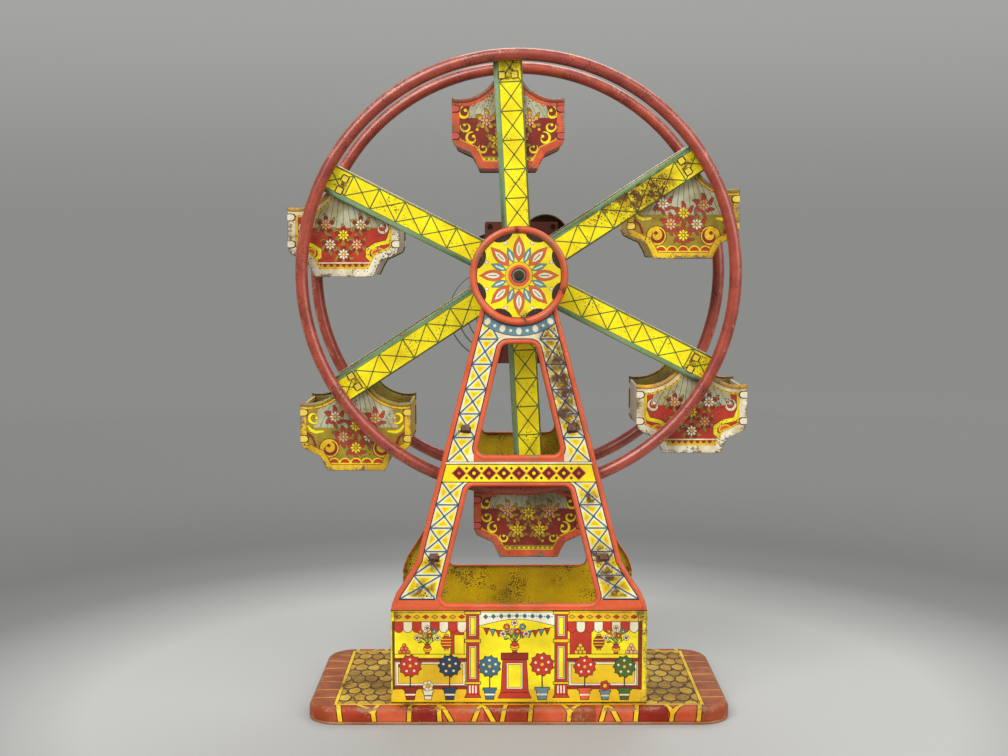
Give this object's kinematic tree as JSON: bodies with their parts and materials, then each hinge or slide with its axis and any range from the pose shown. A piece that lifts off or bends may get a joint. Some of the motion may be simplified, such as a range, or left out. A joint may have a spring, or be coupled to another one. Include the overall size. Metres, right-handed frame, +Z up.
{
  "type": "clockwork ferris wheel toy",
  "caption": "Wind-up tin ferris wheel: two towers on a base pan, a two-ring wheel with spokes and hanging cars, and a spring motor with bell behind.",
  "frame": {"origin": "middle of the base on the surface it stands on", "axes": "+Z up, +X to the right seen from the front, +Y to the back, where the motor is"},
  "size_m": [0.2916, 0.1698, 0.4195],
  "materials": {
    "base_litho": "printed tin, brick red border round olive paving, worn",
    "tower_litho": "printed tin, yellow, white and orange red, worn",
    "dial_litho": "printed tin disc with a red rolled rim",
    "ring_paint": "brick red enamel, rubbed at the outside",
    "spoke_litho": "printed tin, yellow with grey green lattice",
    "car_litho_red": "printed tin, red border with yellow scrolls",
    "car_litho_cream": "printed tin, cream border with red and yellow",
    "car_litho_yellow": "printed tin, yellow border with red scrolls",
    "tub_red": "printed tin strip, red outside and yellow inside",
    "tub_cream": "printed tin strip, cream outside and yellow inside",
    "tub_yellow": "printed tin strip, yellow inside and out",
    "motor_paint": "dark red brown enamel, dull",
    "steel": "plain steel, greyed and spotted",
    "gear_metal": "brass, browned",
    "spring_steel": "blued spring strip, nearly black",
    "bell_metal": "steel gong, browned by rust",
    "fly_black": "black enamel",
    "knob_wood": "turned wood, stained red"
  },
  "bodies": {
    "stand": {"base_pan": "base_litho", "front_tower": "tower_litho", "rear_tower": "tower_litho", "leg_braces": "steel", "hub_face_plate": "dial_litho", "axle_bushes": "steel", "motor_front_plate": "motor_paint", "motor_rear_plate": "motor_paint", "motor_pillars": "steel", "motor_rivets": "steel", "mainspring": "spring_steel", "bell": "bell_metal", "bell_post": "steel"},
    "wheel": {"ring_front": "ring_paint", "ring_rear": "ring_paint", "spoke_front_1": "spoke_litho", "spoke_front_2": "spoke_litho", "spoke_front_3": "spoke_litho", "spoke_front_4": "spoke_litho", "spoke_front_5": "spoke_litho", "spoke_front_6": "spoke_litho", "spoke_rear_1": "spoke_litho", "spoke_rear_2": "spoke_litho", "spoke_rear_3": "spoke_litho", "spoke_rear_4": "spoke_litho", "spoke_rear_5": "spoke_litho", "spoke_rear_6": "spoke_litho", "hub_discs": "spoke_litho", "hub_tube": "steel", "wheel_axle": "steel", "axle_pinion": "gear_metal", "train_wheel": "gear_metal", "bell_trip": "steel", "hanger_tube_1": "steel", "hanger_tube_2": "steel", "hanger_tube_3": "steel", "hanger_tube_4": "steel", "hanger_tube_5": "steel", "hanger_tube_6": "steel"},
    "car_1": {"gondola_1_panels": "car_litho_red", "gondola_1_tub": "tub_red"},
    "car_2": {"gondola_2_panels": "car_litho_cream", "gondola_2_tub": "tub_cream"},
    "car_3": {"gondola_3_panels": "car_litho_yellow", "gondola_3_tub": "tub_yellow"},
    "car_4": {"gondola_4_panels": "car_litho_red", "gondola_4_tub": "tub_red"},
    "car_5": {"gondola_5_panels": "car_litho_cream", "gondola_5_tub": "tub_cream"},
    "car_6": {"gondola_6_panels": "car_litho_yellow", "gondola_6_tub": "tub_yellow"},
    "great_wheel": {"great_wheel": "gear_metal"},
    "click": {"click": "steel"},
    "winder": {"winding_arbor": "steel", "ratchet_wheel": "steel", "crank_arm": "steel"},
    "knob": {"crank_knob": "knob_wood"},
    "fly": {"governor_fly": "fly_black"},
    "hammer": {"bell_hammer": "steel"}
  },
  "joints": [
    {"name": "wheel_spin", "type": "hinge", "parent": "stand", "child": "wheel", "pos_m": [0, 0, 0.2795], "axis": [0, 1, 0], "continuous": true},
    {"name": "car_1_hang", "type": "hinge", "parent": "wheel", "child": "car_1", "pos_m": [-0.00649, 0, 0.40333], "axis": [0, 1, 0], "continuous": true},
    {"name": "car_2_hang", "type": "hinge", "parent": "wheel", "child": "car_2", "pos_m": [-0.11048, 0, 0.3358], "axis": [0, 1, 0], "continuous": true},
    {"name": "car_3_hang", "type": "hinge", "parent": "wheel", "child": "car_3", "pos_m": [-0.104, 0, 0.21196], "axis": [0, 1, 0], "continuous": true},
    {"name": "car_4_hang", "type": "hinge", "parent": "wheel", "child": "car_4", "pos_m": [0.00649, 0, 0.15567], "axis": [0, 1, 0], "continuous": true},
    {"name": "car_5_hang", "type": "hinge", "parent": "wheel", "child": "car_5", "pos_m": [0.11048, 0, 0.2232], "axis": [0, 1, 0], "continuous": true},
    {"name": "car_6_hang", "type": "hinge", "parent": "wheel", "child": "car_6", "pos_m": [0.104, 0, 0.34703], "axis": [0, 1, 0], "continuous": true},
    {"name": "great_wheel_turn", "type": "hinge", "parent": "stand", "child": "great_wheel", "pos_m": [0, 0, 0.2495], "axis": [0, 1, 0], "continuous": true},
    {"name": "fly_spin", "type": "hinge", "parent": "stand", "child": "fly", "pos_m": [-0.01999, 0, 0.29278], "axis": [0, 1, 0], "continuous": true},
    {"name": "winding", "type": "hinge", "parent": "great_wheel", "child": "winder", "pos_m": [0, 0, 0.2495], "axis": [0, 1, 0], "continuous": true},
    {"name": "click_lift", "type": "hinge", "parent": "great_wheel", "child": "click", "pos_m": [-0.00462, 0, 0.26219], "axis": [0, -1, 0], "range_deg": [0, 12], "stiffness_Nm_per_rad": 0.004, "springref_deg": -8.59},
    {"name": "knob_spin", "type": "hinge", "parent": "winder", "child": "knob", "pos_m": [0, 0, 0.2795], "axis": [0, 1, 0], "continuous": true},
    {"name": "hammer_swing", "type": "hinge", "parent": "stand", "child": "hammer", "pos_m": [-0.012, 0, 0.2935], "axis": [0, 1, 0], "range_deg": [-4, 3], "stiffness_Nm_per_rad": 0.006}
  ],
  "couplings": [
    {"joint": "car_1_hang", "follows": "wheel_spin", "ratio": -1},
    {"joint": "car_2_hang", "follows": "wheel_spin", "ratio": -1},
    {"joint": "car_3_hang", "follows": "wheel_spin", "ratio": -1},
    {"joint": "car_4_hang", "follows": "wheel_spin", "ratio": -1},
    {"joint": "car_5_hang", "follows": "wheel_spin", "ratio": -1},
    {"joint": "car_6_hang", "follows": "wheel_spin", "ratio": -1},
    {"joint": "great_wheel_turn", "follows": "wheel_spin", "ratio": -0.25},
    {"joint": "fly_spin", "follows": "wheel_spin", "ratio": -4}
  ]
}
